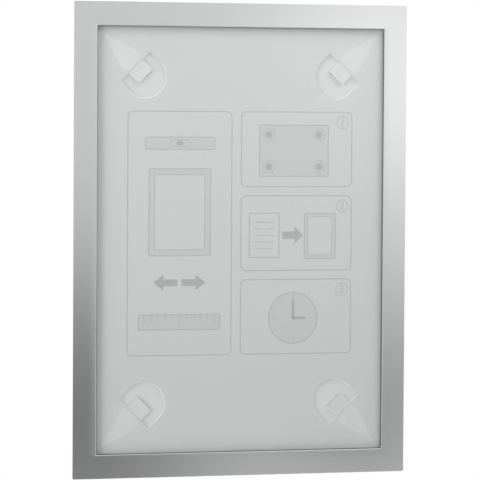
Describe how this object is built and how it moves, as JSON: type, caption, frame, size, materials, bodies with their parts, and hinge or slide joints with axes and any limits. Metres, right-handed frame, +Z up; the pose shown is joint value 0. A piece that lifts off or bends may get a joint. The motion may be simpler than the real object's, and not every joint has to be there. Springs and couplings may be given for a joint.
{
  "type": "magnetic document frame",
  "caption": "Flat self-adhesive wall frame for an A4 sheet: a clear cover with a silver border hinges up at the top, shuts on magnets, and corner strips release by pull tabs.",
  "frame": {"origin": "on the wall plane, the rear faces of the adhesive strips, behind the middle of the frame", "axes": "+Z up the frame's long side, +X to the right seen from the front, +Y into the wall, so the front faces -Y"},
  "size_m": [0.236, 0.0049, 0.323],
  "materials": {
    "silver_film": "satin",
    "clear_film": "gloss",
    "frosted_film": "matte",
    "magnetic_rubber": "matte",
    "hinge_plastic": "satin",
    "white_adhesive": "matte",
    "tab_film": "satin"
  },
  "bodies": {
    "back": {"back_panel": "frosted_film", "rear_magnet_top": "magnetic_rubber", "rear_magnet_bottom": "magnetic_rubber", "rear_magnet_left": "magnetic_rubber", "rear_magnet_right": "magnetic_rubber", "hinge_film": "hinge_plastic", "adhesive_strip_top_left": "white_adhesive", "adhesive_strip_top_right": "white_adhesive", "adhesive_strip_bottom_left": "white_adhesive", "adhesive_strip_bottom_right": "white_adhesive"},
    "cover": {"front_border": "silver_film", "window_film": "clear_film", "front_magnet_top": "magnetic_rubber", "front_magnet_bottom": "magnetic_rubber", "front_magnet_left": "magnetic_rubber", "front_magnet_right": "magnetic_rubber"},
    "tab_top_left": {"grip_tab_top_left": "tab_film"},
    "tab_top_right": {"grip_tab_top_right": "tab_film"},
    "tab_bottom_left": {"grip_tab_bottom_left": "tab_film"},
    "tab_bottom_right": {"grip_tab_bottom_right": "tab_film"}
  },
  "joints": [
    {"name": "cover_hinge", "type": "hinge", "parent": "back", "child": "cover", "pos_m": [0, -0.00275, 0.16182], "axis": [-1, 0, 0], "range_deg": [0, 180], "deforming": ["hinge_film"]},
    {"name": "tab_pull_top_left", "type": "slide", "parent": "back", "child": "tab_top_left", "axis": [0.7071, 0, -0.7071], "range_m": [0, 0.011], "stiffness_N_per_m": 100, "deforming": ["adhesive_strip_top_left"]},
    {"name": "tab_pull_top_right", "type": "slide", "parent": "back", "child": "tab_top_right", "axis": [-0.7071, 0, -0.7071], "range_m": [0, 0.011], "stiffness_N_per_m": 100, "deforming": ["adhesive_strip_top_right"]},
    {"name": "tab_pull_bottom_left", "type": "slide", "parent": "back", "child": "tab_bottom_left", "axis": [0.7071, 0, 0.7071], "range_m": [0, 0.011], "stiffness_N_per_m": 100, "deforming": ["adhesive_strip_bottom_left"]},
    {"name": "tab_pull_bottom_right", "type": "slide", "parent": "back", "child": "tab_bottom_right", "axis": [-0.7071, 0, 0.7071], "range_m": [0, 0.011], "stiffness_N_per_m": 100, "deforming": ["adhesive_strip_bottom_right"]}
  ]
}
